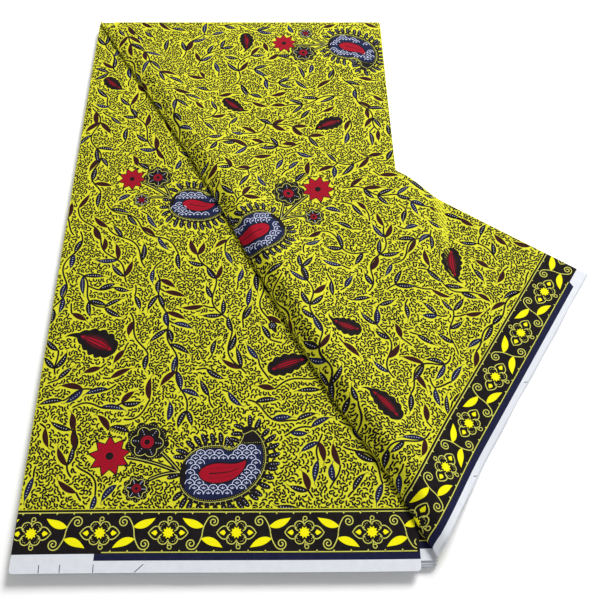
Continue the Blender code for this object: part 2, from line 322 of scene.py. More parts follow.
def cotton(name, colours, roughness=0.8, sheen=0.05, specular=0.25):
    """Dyed plain-weave cotton: two shades of its dye, threads both ways and a crisp, faint crumple."""
    material = bpy.data.materials.new(name)
    material.use_nodes = True
    tree = material.node_tree
    shader = tree.nodes["Principled BSDF"]
    cloth_map = node(tree, "ShaderNodeUVMap", {}, {})
    cloth_map.uv_map = "cloth"
    place = {"Vector": cloth_map.outputs["UV"]}
    mottle = node(tree, "ShaderNodeTexNoise", {"Scale": 160, "Detail": 5, "Roughness": 0.65}, place)
    mottle = mottle.outputs["Fac"]
    shades = ramp(tree, mottle, (0.3, colours[1]), (0.7, colours[0]))
    tree.links.new(shades, shader.inputs["Base Color"])
    weave = {0: threads(tree, place, "X"), 1: threads(tree, place, "Y")}
    crossing = node(tree, "ShaderNodeMath", {}, weave)
    crossing.operation = "MULTIPLY"
    relief = {"Height": crossing.outputs["Value"]}
    fine = node(tree, "ShaderNodeBump", {"Strength": 0.35, "Distance": 0.00006}, relief)
    crumple = node(tree, "ShaderNodeTexNoise", {"Scale": 42, "Detail": 3}, place)
    relief = {"Height": crumple.outputs["Fac"], "Normal": fine.outputs["Normal"]}
    soft = node(tree, "ShaderNodeBump", {"Strength": 0.3, "Distance": 0.0009}, relief)
    tree.links.new(soft.outputs["Normal"], shader.inputs["Normal"])
    limits = {"To Min": roughness - 0.08, "To Max": roughness + 0.08}
    gloss = node(tree, "ShaderNodeMapRange", limits, {"Value": mottle})
    tree.links.new(gloss.outputs["Result"], shader.inputs["Roughness"])
    shader.inputs["Specular IOR Level"].default_value = specular
    shader.inputs["Sheen Weight"].default_value = sheen
    shader.inputs["Sheen Roughness"].default_value = 0.45
    return material


def dark_cotton(name, colours):
    """Cotton where the dye lies thick: a little rougher, with little sheen."""
    return cotton(name, colours, 0.82, 0.01, 0.1)


def printed_fold(name):
    """The print where it only shows on folded edges and undersides: yellow with dark flecks."""
    material = cotton(name, YELLOW)
    tree = material.node_tree
    base = tree.nodes["Principled BSDF"].inputs["Base Color"]
    yellow = base.links[0].from_socket
    cloth_map = next(n for n in tree.nodes if n.type == "UVMAP")
    values = {"Scale": 330, "Detail": 2, "Distortion": 1.2}
    flecks = node(tree, "ShaderNodeTexNoise", values, {"Vector": cloth_map.outputs["UV"]})
    cut = ramp(tree, flecks.outputs["Fac"], (0.46, (0, 0, 0)), (0.52, (1, 1, 1)))
    mix = tree.nodes.new("ShaderNodeMix")
    mix.data_type = "RGBA"
    mix.inputs["A"].default_value = (*BLACK[1], 1)
    tree.links.new(cut, mix.inputs["Factor"])
    tree.links.new(yellow, mix.inputs["B"])
    tree.links.new(mix.outputs["Result"], base)
    return material


def add_mesh(name, points, faces, cloth_places, materials, indices=None, normals=None):
    """A smooth mesh in the frame, with its cloth coordinates as UV map."""
    mesh = bpy.data.meshes.new(name)
    placed = points + np.array([STACK_LEFT, STACK_BACK, 0])
    mesh.from_pydata(placed.tolist(), [], faces)
    mesh.update()
    for material in materials:
        mesh.materials.append(material)
    if indices is not None:
        mesh.polygons.foreach_set("material_index", indices)
    layer = mesh.uv_layers.new(name="cloth")
    corners = np.zeros(len(mesh.loops), dtype=np.int32)
    mesh.loops.foreach_get("vertex_index", corners)
    layer.data.foreach_set("uv", cloth_places[corners].astype(np.float32).ravel())
    mesh.shade_smooth()
    if normals is not None:
        mesh.normals_split_custom_set_from_vertices(normals.tolist())
    piece = bpy.data.objects.new(name, mesh)
    bpy.context.scene.collection.objects.link(piece)
    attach(piece, "root")
    return piece


def grid_rim(rows, columns):
    """Indices round a grid's edge, and of the inner neighbour of each."""
    rim = [(0, c) for c in range(columns)]
    rim += [(r, columns - 1) for r in range(1, rows)]
    rim += [(rows - 1, c) for c in range(columns - 2, -1, -1)]
    rim += [(r, 0) for r in range(rows - 2, 0, -1)]
    rim = np.array(rim)
    inner = np.clip(rim, 1, (rows - 2, columns - 2))
    return tuple(rim.T), tuple(inner.T)


# Rim shapes, from the upper face down: a share of the wall, and how far out it reaches in metres
FOLDED_RIM = table("down out", (0.22, 0.00028), (0.5, 0.0004), (0.78, 0.00028))
OPEN_RIM = table(
    "down out",
    (0.22, 0.00016), (0.43, -0.00002), (0.47, -0.0018), (0.54, -0.0018), (0.58, 0.00008), (0.8, 0.0002),
)


def cell_middles(grid):
    """The means of the four corners of each cell of a grid."""
    return (grid[:-1, :-1] + grid[1:, :-1] + grid[:-1, 1:] + grid[1:, 1:]) / 4


def shell(name, surface, grid, open_side, zone, materials, peek):
    """A closed doubled sheet over a grid of cloth coordinates.

    open_side tells which rim points are on the open selvedge side, where two plies show.
    """
    a, b = grid
    rows, columns = a.shape
    upper = surface(a, b)
    lower = surface(a, b, WALL)
    count = rows * columns
    index = np.arange(count).reshape(rows, columns)
    faces = []
    zones = []
    for (r, c), kind in np.ndenumerate(zone(cell_middles(a), cell_middles(b))):
        corners = index[[r, r, r + 1, r + 1], [c, c + 1, c + 1, c]].tolist()
        faces += [corners, [i + count for i in reversed(corners)]]
        zones += [int(kind), edge_zone(kind)]
    rim, inner = grid_rim(rows, columns)
    edge = upper[rim]
    under = lower[rim]
    away = edge - upper[inner]
    away[:, 2] = 0
    away = unit(away)
    opened = open_side(*rim).astype(float)
    rim_a, rim_b = a[rim], b[rim]
    shown = opened * (peek * (0.6 + 0.4 * np.sin(rim_a * 31) * np.sin(rim_a * 83 + 1)))
    lower[rim] = under + away * shown[:, None]
    points = [upper.reshape(-1, 3), lower.reshape(-1, 3)]
    first = index[rim].tolist()
    size = len(first)
    rings = [first]
    for step, split in enumerate(OPEN_RIM):
        t = (step + 0.5) / len(OPEN_RIM) * (len(FOLDED_RIM) - 1)
        low, high = FOLDED_RIM[int(t):int(t) + 2]
        reach = {}
        for key in split:
            folded = low[key] + (high[key] - low[key]) * (t - int(t))
            reach[key] = folded + (split[key] - folded) * opened
        out = reach["out"] + (shown if split["down"] > 0.5 else 0)
        points.append(edge + (under - edge) * reach["down"][:, None] + away * out[:, None])
        start = 2 * count + step * size
        rings.append(list(range(start, start + size)))
    rings.append([i + count for i in first])
    for high_ring, low_ring in zip(rings, rings[1:]):
        for k, kind in enumerate(zone(rim_a, rim_b)):
            n = (k + 1) % size
            faces.append((high_ring[k], low_ring[k], low_ring[n], high_ring[n]))
            zones.append(edge_zone(kind))
    places = [np.column_stack([a.ravel(), b.ravel()])] * 2
    places += [np.column_stack([rim_a, rim_b])] * len(OPEN_RIM)
    piece = add_mesh(name, np.vstack(points), faces, np.vstack(places), materials, zones)
    clean(piece.data)
    return piece


def edge_zone(kind):
    """The finish of an edge or an underside: like the face, but the field is flecked."""
    return int(kind) if kind < 3 else 4


def clean(mesh):
    """Merges the points that meet where a grid narrows to a corner, and drops empty faces."""
    shape = bmesh.new()
    shape.from_mesh(mesh)
    bmesh.ops.remove_doubles(shape, verts=shape.verts, dist=0.000005)
    bmesh.ops.dissolve_degenerate(shape, edges=shape.edges, dist=0.000004)
    bmesh.ops.recalc_face_normals(shape, faces=shape.faces)
    shape.to_mesh(mesh)
    shape.free()


def edge_steps(length, step, edge):
    """Distances from 0 to a length, close together at both ends where the cloth's edge turns."""
    near = [0, 0.25 * edge, 0.6 * edge, edge, 2 * edge]
    inner = length - 4 * edge
    count = max(2, round(inner / step))
    middle = [2 * edge + inner * i / count for i in range(1, count)]
    return near + middle + [length - d for d in reversed(near)]


def band_steps(count):
    """Distances in from the selvedge over the band."""
    return [STRIPE + (BAND - STRIPE) * i / count for i in range(1, count + 1)]


def border_rows(last, step):
    """Distances in from the selvedge, with a row at each limit of the border's zones."""
    field = last - 0.004 - BAND
    count = round(field / step)
    rows = [0, 0.0003, 0.0008, 0.0018, 0.003, 0.006, SELVEDGE, 0.012, STRIPE] + band_steps(7)
    rows += [BAND + field * i / count for i in range(1, count + 1)]
    return rows + [last - 0.0022, last - 0.001, last - 0.0004, last]


def corner_inset(distance):
    """How far a rounded corner draws the side in, at a distance from the corner's other side."""
    left = max(CORNER_RADIUS - distance, 0)
    return CORNER_RADIUS - math.sqrt(max(CORNER_RADIUS**2 - left**2, 0))


def panel_grid(rows, left_limit, right_limit, step):
    """Cloth coordinates of a panel, from its rows and where each row starts and ends."""
    widest = max(right_limit(b) - left_limit(b) for b in rows)
    shares = np.array([d / widest for d in edge_steps(widest, step, 0.0012)])
    lines = []
    for distance in rows:
        draw = max(corner_inset(distance - rows[0]), corner_inset(rows[-1] - distance))
        start = left_limit(distance) + draw
        end = max(right_limit(distance) - draw, start + 0.00001)
        lines.append((start + (end - start) * shares, np.full(len(shares), distance)))
    return np.array(lines).swapaxes(0, 1)


def zones_from(start, end):
    """Which finish each place has: selvedge, stripe, band or field."""

    def zone(a, b):
        kind = np.where(b < SELVEDGE, 0, np.where(b < STRIPE, 1, np.where(b < BAND, 2, 3)))
        return np.where((kind == 1) & ((a < start) | (a > end)), 0, kind)

    return zone


def crease_side(b):
    """The place along a row where the top panel's side crosses it, under the turned corner."""
    out = ROLL_REACH + ROLL_LIP + 0.0003
    y = b - STACK_DEPTH
    s = -y / CREASE_SIN
    for _ in range(4):
        bow = float(crease_bow(np.array(s / CREASE_LENGTH)))
        s = ((out + bow) * CREASE_COS - y) / CREASE_SIN
    return s * CREASE_COS + (out + bow) * CREASE_SIN


def front_row(r, c):
    """The rim points of a panel's front selvedge."""
    return r == 0


def left_piece(materials):
    """The panel left of the crease."""
    rows = border_rows(STACK_DEPTH - 0.0004, 0.006)
    grid = panel_grid(rows, lambda d: 0, lambda d: STACK_WIDTH - LEFT_NARROW + LEFT_SLANT * d, 0.006)
    zone = zones_from(LEFT_STRIPE_START, 1)
    return shell("left_cloth", left_surface, grid, front_row, zone, materials, 0.0011)


def under_piece(materials):
    """The panel below the left one."""
    rows = border_rows(STACK_DEPTH - 0.0008, 0.02)
    grid = panel_grid(rows, lambda d: 0.0009, lambda d: STACK_WIDTH - 0.0002, 0.012)
    return shell("under_cloth", under_surface, grid, front_row, zones_from(0, 1), materials, 0.0009)


def top_piece(materials):
    """What is left of the top panel."""
    slant = 0.004 / STACK_DEPTH
    front = STACK_DEPTH - 0.558
    rows = [front + d for d in edge_steps(STACK_DEPTH - front, 0.006, 0.0012)]
    grid = panel_grid(rows, crease_side, lambda d: STACK_WIDTH - 0.004 + slant * d, 0.006)
    zone = zones_from(0, 1)
    return shell("top_cloth", top_surface, grid, lambda r, c: r < 0, zone, materials, 0)


def flap_rows():
    """Each row of the turned sheet: its quarters round the roll, and its length beyond them."""
    flat = FLAP_REACH - FLAP_TRIM * CREASE_COS
    flat -= MIDDLE_QUARTER + RISE_WIDTH
    rows = [(-1, -ROLL_LIP), (-1, -0.5 * ROLL_LIP)]
    rows += [(step / 16, 0) for step in range(-16, 17)]
    rows += [(1, RISE_WIDTH * step / 18) for step in range(1, 19)]
    rows += [(1, RISE_WIDTH + flat * step / 86) for step in range(1, 86)]
    return rows + [(1, RISE_WIDTH + flat * share) for share in (0.993, 0.998, 1)]


def flap_grid():
    """Cloth coordinates of the turned sheet, in rows along the crease."""
    steep = CREASE_SIN / CREASE_COS
    shallow = CREASE_COS / CREASE_SIN
    edge = (0, 0.0003, 0.0008, 0.0018)
    border_lines = [FLAP_TRIM + d for d in edge] + [0.0067, SELVEDGE, 0.012, STRIPE] + band_steps(8)
    field = 128
    lines = []
    for quarters, beyond in flap_rows():
        nominal = quarters * MIDDLE_QUARTER + beyond
        if nominal >= 0:
            start, end = nominal * steep, CREASE_LENGTH - nominal * shallow
        else:
            start, end = -nominal * shallow, CREASE_LENGTH + nominal * steep
        end = max(end, start + 0.00002)
        bounded = [max(end - d / CREASE_SIN, start) for d in border_lines]
        near = [min(start + d, bounded[-1]) for d in edge]
        middle = [near[-1] + (bounded[-1] - near[-1]) * i / field for i in range(1, field)]
        s = np.array(near + middle + bounded[::-1])
        lines.append((s, quarters * quarter_length(s) + beyond))
    s, u = np.array(lines).swapaxes(0, 1)
    back = CREASE_LENGTH - s
    return back * CREASE_COS + u * CREASE_SIN, back * CREASE_SIN - u * CREASE_COS


def flap_piece(materials):
    """The turned corner with its roll."""
    grid = flap_grid()
    last = grid[0].shape[1] - 1
    zone = zones_from(0, FLAP_STRIPE_END)
    open_side = lambda r, c: (c == last) & (r > 18)
    return shell("flap_cloth", flap_surface, grid, open_side, zone, materials, 0.0016)


def hidden_piece(materials):
    """The pleated panels below: eight plies, each with its own soft edge."""
    rng = random.Random(5)
    plies = 8
    pitch = HIDDEN_TOP / plies
    levels = []
    for ply in range(plies):
        insets = [rng.uniform(0.0002, 0.0022) for _ in range(4)]
        phase = rng.uniform(0, 6)
        for t in (0, 0.18, 0.5, 0.82, 1)[1 if ply else 0:]:
            bulge = 0.0003 * math.sqrt(max(1 - (2 * t - 1) ** 2, 0)) - 0.0003
            ring = stack_ring(insets, phase, bulge)
            levels.append(np.column_stack([ring, np.full(len(ring), (ply + t) * pitch)]))
    count = len(levels[0])
    points = np.vstack(levels)
    faces = [list(range(count))[::-1]]
    zones = [4]
    for low in range(0, len(points) - count, count):
        for k in range(count):
            n = (k + 1) % count
            faces.append((low + k, low + n, low + n + count, low + k + count))
            zones.append(0 if points[low + k, 1] < 0.0035 - STACK_DEPTH else 4)
    faces.append(list(range(len(points) - count, len(points))))
    zones.append(0)
    places = points[:, :2] + (0, STACK_DEPTH)
    return add_mesh("hidden_cloth", points, faces, places, materials, zones)


def polar(x, y, reach, angle):
    """The place at a reach and an angle from another."""
    return x + reach * math.cos(angle), y + reach * math.sin(angle)


def stack_ring(insets, phase, bulge):
    """One level of the stack's edge, counter-clockwise, with a soft wander in its sides."""
    left, right, front, back = insets
    xs = (left + CORNER_RADIUS, STACK_WIDTH - right - CORNER_RADIUS)
    ys = (front - STACK_DEPTH + CORNER_RADIUS, -back - CORNER_RADIUS)
    ring = []
    for k, (i, j) in enumerate(((1, 0), (1, 1), (0, 1), (0, 0))):
        angles = [math.radians(90 * (k - 1) + 18 * step) for step in range(6)]
        ring += [polar(xs[i], ys[j], CORNER_RADIUS + bulge, angle) for angle in angles]
    dense = []
    for k, (x, y) in enumerate(ring):
        run_x, run_y = np.subtract(ring[(k + 1) % len(ring)], (x, y))
        length = math.hypot(run_x, run_y)
        parts = max(1, round(length / 0.012))
        for t in np.arange(parts) / parts:
            wander = 0.00035 * math.sin(math.pi * t) * math.sin(9 * t + phase + k)
            dense.append((x + run_x * t - run_y / length * wander, y + run_y * t + run_x / length * wander))
    return np.array(dense)


# The size of a raster cell and the raster's margin, in millimetres, and its cells each way
CELL = 0.5
MARGIN = 24
RASTER = (740, 1280)


class Cloth:
    """The print on one stretch of cloth, in millimetres along and in from its selvedge."""

    def __init__(self, name, surface, inside, seed):
        self.name = name
        self.surface = surface
        self.rng = random.Random(seed)
        self.shapes = {}
        self.settled = {}
        self.stems = []
        self.close = np.zeros(RASTER, dtype=bool)
        self.wide = np.zeros(RASTER, dtype=bool)
        self.inside = inside(*raster_places((0, 0), RASTER))

    def free(self, x, y, wide=False):
        """Whether a place is on the cloth and clear of what is drawn."""
        i, j = cell(x, y)
        if not (0 <= i < RASTER[0] and 0 <= j < RASTER[1]) or not self.inside[i, j]:
            return False
        return not (self.wide[i, j] if wide else self.close[i, j])

    def mark(self, line, radius, clear=1.2, apart=3.6):
        """Keeps scribbles and other motifs away from a line, of one radius or one for each point."""
        for (x, y), reach in zip(line, np.broadcast_to(radius, (len(line),))):
            add_disc(self.close, x, y, reach + clear)
            add_disc(self.wide, x, y, reach + apart)

    def cover(self, outline, clear=1.2, apart=4):
        """Keeps scribbles and other motifs away from a filled outline."""
        self.mark(outline, 0, clear, apart)
        rim = np.array(outline)
        low = np.maximum(((rim.min(axis=0) + MARGIN) / CELL).astype(int), 0)
        high = np.minimum(((rim.max(axis=0) + MARGIN) / CELL).astype(int) + 1, RASTER)
        odd = inside_outline(*raster_places(low, high), rim)
        for raster in (self.close, self.wide):
            raster[low[0]:high[0], low[1]:high[1]] |= odd

    def add(self, dye, points, triangles):
        """Triangles of a dye."""
        self.shapes.setdefault(dye, []).append((np.array(points, float), np.array(triangles, int)))

    def fill(self, dye, outline):
        """A filled outline of a dye."""
        triangles = geometry.tessellate_polygon([[Vector((x, y, 0)) for x, y in outline]])
        if triangles:
            self.add(dye, outline, triangles)

    def stroke(self, dye, line, width):
        """A drawn line of a dye."""
        self.add(dye, *stroke_shape(line, width))

    def dot(self, dye, x, y, radius, sides=6):
        """A round dot of a dye."""
        self.add(dye, rosette(x, y, [radius] * sides), [(0, k, k + 1) for k in range(1, sides - 1)])

    def settle(self, limits):
        """Cuts what was drawn since the last call along straight lines, where the cloth's print ends."""
        for dye, shapes in self.shapes.items():
            points, triangles = joined(shapes)
            for limit in limits:
                points, triangles = cut_off(points, triangles, limit)
            self.settled.setdefault(dye, []).append((points, triangles))
        self.shapes = {}

    def build(self):
        """Makes a piece for each dye, laid on the cloth."""
        pieces = []
        for dye, shapes in self.settled.items():
            points, triangles = joined(shapes)
            points, triangles = split_to_fit(points * 0.001, triangles, self.surface)
            placed = self.surface(points[:, 0], points[:, 1], -DYES[dye]["step"] * DYE_STEP)
            piece = add_mesh(
                self.name + "_" + dye, placed, triangles.tolist(), points, [dye_material(dye)],
                normals=facing(self.surface, points),
            )
            pieces.append(piece)
        return pieces


def cell(x, y):
    """The raster cell of a place."""
    return int((x + MARGIN) / CELL), int((y + MARGIN) / CELL)


def raster_places(low, high):
    """The places of a block of raster cells, in millimetres."""
    x = np.arange(low[0], high[0]) * CELL - MARGIN
    y = np.arange(low[1], high[1]) * CELL - MARGIN
    return np.meshgrid(x, y, indexing="ij")


DISCS = {}


def add_disc(raster, x, y, radius):
    """Fills a disc in a raster."""
    reach = int(radius / CELL + 0.5)
    i, j = cell(x, y)
    if reach not in DISCS:
        span = np.arange(-reach, reach + 1)
        DISCS[reach] = span[:, None] ** 2 + span[None, :] ** 2 <= reach**2
    if reach <= i < RASTER[0] - reach and reach <= j < RASTER[1] - reach:
        raster[i - reach:i + reach + 1, j - reach:j + reach + 1] |= DISCS[reach]


def inside_outline(x, y, outline):
    """Which places are inside an outline."""
    odd = np.zeros(np.shape(x), dtype=bool)
    for (x0, y0), (x1, y1) in zip(outline, np.roll(outline, -1, axis=0)):
        if y0 != y1:
            odd ^= ((y0 > y) != (y1 > y)) & (x < (x1 - x0) * (y - y0) / (y1 - y0) + x0)
    return odd


def across(line):
    """Unit vectors across a line of points."""
    along = unit(np.gradient(np.array(line, float), axis=0))
    return np.column_stack([-along[:, 1], along[:, 0]])


def stroke_shape(line, width):
    """The points and triangles of a drawn line with pointed ends, of one width or one for each point."""
    line = np.array(line, float)
    halves = np.broadcast_to(np.array(width, float) / 2, (len(line),))
    side = across(line) * halves[:, None]
    ends = unit(np.array([line[0] - line[1], line[-1] - line[-2]]))
    tips = line[[0, -1]] + ends * halves[[0, -1], None]
    n = len(line)
    triangles = [(2 * n, n, 0), (n - 1, 2 * n - 1, 2 * n + 1)]
    for k in range(n - 1):
        triangles += [(k, n + k, n + k + 1), (k, n + k + 1, k + 1)]
    return np.vstack([line + side, line - side, tips]), np.array(triangles)


def joined(shapes):
    """Several shapes as one set of points, and triangles that face up."""
    starts = np.cumsum([0] + [len(shape[0]) for shape in shapes])
    points = np.vstack([shape[0] for shape in shapes])
    triangles = np.vstack([shape[1] + start for shape, start in zip(shapes, starts)])
    p, q, r = (points[triangles[:, k]] for k in range(3))
    area = (q[:, 0] - p[:, 0]) * (r[:, 1] - p[:, 1]) - (q[:, 1] - p[:, 1]) * (r[:, 0] - p[:, 0])
    over = area < 0
    triangles[over] = triangles[over][:, ::-1]
    return points, triangles[np.abs(area) > 1e-6]


def cut_off(points, triangles, limit):
    """The part of the triangles on the inner side of a straight line."""
    height = points @ np.array([limit["x"], limit["y"]]) - limit["from"]
    inner = height[triangles] >= 0
    count = inner.sum(axis=1)
    kept = [triangles[count == 3]]
    for number in (1, 2):
        chosen = count == number
        picked = triangles[chosen]
        rank = np.arange(len(picked))
        lone = np.argmax(inner[chosen] == (number == 1), axis=1)
        p, q, r = (picked[rank, (lone + k) % 3] for k in range(3))
        new = []
        for far in (q, r):
            share = (height[p] / (height[p] - height[far]))[:, None]
            new.append(len(points) + rank)
            points = np.vstack([points, points[p] + (points[far] - points[p]) * share])
        if number == 1:
            kept.append(np.column_stack([p, new[0], new[1]]))
        else:
            kept.append(np.column_stack([new[0], q, r]))
            kept.append(np.column_stack([new[0], r, new[1]]))
    used, triangles = np.unique(np.vstack(kept), return_inverse=True)
    return points[used], triangles.reshape(-1, 3)


def split_to_fit(points, triangles, surface):
    """Splits triangles until the surface stays close to them between their corners."""
    for _ in range(MAX_SPLITS):
        placed = surface(*points.T)
        worst = np.zeros(len(triangles))
        side = np.zeros(len(triangles), dtype=int)
        for k in range(3):
            p, q = triangles[:, k], triangles[:, (k + 1) % 3]
            middle = (points[p] + points[q]) / 2
            gap = surface(*middle.T) - (placed[p] + placed[q]) / 2
            gap = np.linalg.norm(gap, axis=1)
            side = np.where(gap > worst, k, side)
            worst = np.maximum(gap, worst)
        chosen = worst > FIT_TOLERANCE
        if not chosen.any():
            break
        picked = triangles[chosen]
        rank = np.arange(len(picked))
        p, q, r = (picked[rank, (side[chosen] + k) % 3] for k in range(3))
        new = len(points) + rank
        points = np.vstack([points, (points[p] + points[q]) / 2])
        halves = [np.column_stack([p, new, r]), np.column_stack([new, q, r])]
        triangles = np.vstack([triangles[~chosen], *halves])
    return points, triangles


def facing(surface, points):
    """The cloth's own normals at some places."""
    a, b = points.T
    step = 0.0002
    along = surface(a + step, b) - surface(a - step, b)
    return unit(np.cross(along, surface(a, b + step) - surface(a, b - step)))


DYE_MATERIALS = {}


def dye_material(dye):
    """The finish of a dye, made once."""
    if dye not in DYE_MATERIALS:
        DYE_MATERIALS[dye] = dark_cotton(dye + "_dye", DYES[dye]["colours"])
    return DYE_MATERIALS[dye]


def turned(x, y, angle):
    """A vector turned by an angle."""
    return x * math.cos(angle) - y * math.sin(angle), x * math.sin(angle) + y * math.cos(angle)


def path(x, y, heading, arcs, step=0.6):
    """A line from a place along arcs, each a length and the turn over it, in radians."""
    line = [(x, y)]
    for length, turn in arcs:
        count = max(2, round(length / step))
        for _ in range(count):
            heading += turn / count / 2
            line.append(polar(*line[-1], length / count, heading))
            heading += turn / count / 2
    return line


def curve(controls, shares):
    """A Bezier curve's points at some shares of it."""
    t = np.array(shares)[:, None]
    last = len(controls) - 1
    rows = enumerate(np.array(controls))
    return sum(math.comb(last, k) * t**k * (1 - t) ** (last - k) * point for k, point in rows)


def hump(count, skew, power=1, low=0, high=1):
    """A profile that swells from a line's start and falls to its end."""
    return np.sin(math.pi * np.linspace(low, high, count) ** skew) ** power


def tapered(line, half_widths):
    """The outline of a shape that has a middle line and a half width at each of its points."""
    line = np.array(line, float)
    side = across(line) * np.array(half_widths, float)[:, None]
    return [tuple(p) for p in np.vstack([line + side, (line - side)[::-1]])]


def rosette(x, y, radii, turn=0):
    """A closed outline round a place, from its radii at equal angles."""
    return [polar(x, y, r, turn + k * 2 * math.pi / len(radii)) for k, r in enumerate(radii)]


def circle(x, y, radius, sides):
    """A round line that ends where it starts."""
    ring = rosette(x, y, [radius] * sides)
    return ring + ring[:1]


def walked_along(line):
    """How far along a line each of its points is."""
    return np.concatenate([[0], np.cumsum(np.linalg.norm(np.diff(line, axis=0), axis=1))])


def beads(cloth, dye, line, apart, radius):
    """Dots along a line."""
    line = np.array(line)
    walked = walked_along(line)
    for distance in np.arange(apart / 2, walked[-1], apart):
        cloth.dot(dye, *(np.interp(distance, walked, line[:, k]) for k in (0, 1)), radius)


# How far other motifs stay from a leaf and from a stem, in millimetres
LEAF_ROOM = 4.6
STEM_ROOM = 5


def leaf(cloth, x, y, heading, length, width, turn, dye):
    """A slim leaf with a curled hair at its tip, and dots along its middle."""
    line = path(x, y, heading, [(length, turn)], length / 11)
    halves = width / 2 * hump(len(line), 0.9, 0.85) + 0.14
    cloth.fill(dye, tapered(line, halves))
    tip = path(*line[-1], heading + turn, [(1.8, turn * 0.6), (1.6, turn * 3)], 0.8)
    cloth.stroke(dye, tip, np.linspace(0.6, 0.35, len(tip)))
    cloth.mark(line, halves, apart=LEAF_ROOM)
    cloth.mark(tip, 0.2, apart=2.5)
    if dye != "maroon":
        beads(cloth, "lilac", line[2:-2], 2.1, 0.38)


def bud(cloth, x, y, heading, size, dotted):
    """A round bud with a pointed crown and a cluster of dots."""
    angles = np.arange(36) * math.pi / 18
    ahead = np.minimum(angles, 2 * math.pi - angles)
    crown = 0.34 * np.clip(1 - ahead / 0.7, 0, 1) ** 1.4
    middle = polar(x, y, size * 0.3, heading)
    outline = rosette(*middle, size * (0.34 + 0.025 * np.cos(5 * angles) + crown), heading)
    cloth.fill("black", outline)
    cloth.cover(outline, apart=3.2)
    if dotted:
        cloth.dot("lilac", *middle, 0.33)
        for place in rosette(*middle, [size * 0.15] * 6, math.pi / 3):
            cloth.dot("lilac", *place, 0.33)


def pod(cloth, x, y, heading, length, width, turn):
    """A big seed pod: a thick scalloped dark rim, a red middle with dark veins and a bent beak."""
    line = path(x, y, heading, [(length, turn)], length / 48)
    swell = hump(len(line), 0.8, 0.62)
    lobes = np.abs(np.sin(5 * math.pi * np.linspace(0, 1, len(line))))
    outline = tapered(line, width / 2 * swell + 0.13 * width * lobes * swell + 0.3)
    cloth.fill("black", outline)
    cloth.cover(outline)
    inner = np.array(line[5:-4])
    core = hump(len(inner), 0.9, 0.8)
    cloth.fill("wine", tapered(inner, width * 0.27 * core + 0.05))
    cloth.fill("red", tapered(inner, width * 0.13 * core + 0.04))
    for share in (-0.24, -0.13, 0, 0.13, 0.24):
        vein = inner + across(inner) * (width * share * core)[:, None]
        cloth.stroke("ink", vein[4:-4:2], 0.6 if share else 0.75)
    beak = path(*line[-3], heading + turn, [(width * 0.35, turn * 1.2), (width * 0.2, turn * 1.4)], 0.7)
    cloth.stroke("black", beak, np.linspace(width * 0.26, 0.4, len(beak)))
    cloth.mark(beak, 1.2, apart=2.5)


def leaf_dye(rng):
    """A leaf's dye."""
    chance = rng.random()
    return "black" if chance < 0.52 else "navy" if chance < 0.7 else "maroon"


def clear_ahead(cloth, x, y, heading, length, turn=0):
    """Whether a slim shape fits from a place, in a direction."""
    return all(
        cloth.free(*polar(x, y, share * length, heading + turn * share / 2), wide=share > 0.5)
        for share in (0.4, 0.6, 0.8, 1, 1.2)
    )


def grown(cloth, x, y, heading, longest):
    """A winding line from a place until it meets another motif, with its headings."""
    rng = cloth.rng
    swing = rng.uniform(0.05, 0.09)
    wave = rng.uniform(36, 60)
    phase = rng.uniform(0, 6.28)
    line = [(x, y, heading)]
    walked = 0
    while walked < longest:
        heading += swing * math.sin(walked / wave * 6.28 + phase)
        if walked > 5 and not cloth.free(*polar(x, y, 4, heading), wide=True):
            break
        x, y = polar(x, y, 1, heading)
        walked += 1
        line.append((x, y, heading))
    return line


def vine(cloth, x, y, heading, longest):
    """A winding stem with leaves at its joints and a leaf or a bud at its end."""
    rng = cloth.rng
    line = grown(cloth, x, y, heading, longest)
    if len(line) < (60 if longest > 100 else 13):
        return
    last = 0
    joint = rng.randrange(5, 12)
    flank = rng.choice((-1, 1))
    while joint < len(line):
        jx, jy, way = line[joint]
        for side in (flank, -flank) if rng.random() < 0.6 else (flank,):
            length = rng.uniform(14, 20)
            spread = side * rng.uniform(0.5, 1)
            turn = -side * rng.uniform(0.2, 0.7)
            if clear_ahead(cloth, jx, jy, way + spread, length, turn):
                leaf(cloth, jx, jy, way + spread, length, rng.uniform(4.2, 5.2), turn, leaf_dye(rng))
                last = joint
        flank = -flank
        joint += rng.randrange(13, 22)
    if clear_ahead(cloth, *line[-1], 10):
        last = len(line) - 1
        if rng.random() < 0.35:
            bud(cloth, *line[-1], rng.uniform(9.5, 11.5), rng.random() < 0.6)
        else:
            leaf(cloth, *line[-1], rng.uniform(11, 15), 4.2, rng.uniform(-0.6, 0.6), leaf_dye(rng))
    if not last:
        return
    stem = [(px, py) for px, py, _ in line[:last + 1]]
    cloth.stroke("black", stem[::2] + stem[-1:] if last % 2 else stem[::2], 1.55)
    cloth.mark(stem, 0.55, apart=STEM_ROOM)
    cloth.stems += line[4:last:5]


def sprout(cloth, tries):
    """Long vines, and shorter ones that branch off from them or start in free places."""
    rng = cloth.rng
    spots = np.argwhere(cloth.inside)
    for number in range(tries):
        long = number < 0.03 * tries
        if cloth.stems and not long and rng.random() < 0.7:
            x, y, way = cloth.stems[rng.randrange(len(cloth.stems))]
            heading = way + rng.choice((-1, 1)) * rng.uniform(0.6, 1.1)
            if all(cloth.free(*polar(x, y, r, heading), wide=True) for r in (6, 9, 12, 15)):
                vine(cloth, x, y, heading, rng.uniform(26, 90))
            continue
        x, y = spots[rng.randrange(len(spots))] * CELL - MARGIN
        if cloth.free(x, y, wide=True):
            vine(cloth, x, y, rng.uniform(0, 6.28), rng.uniform(110, 220) if long else 60)


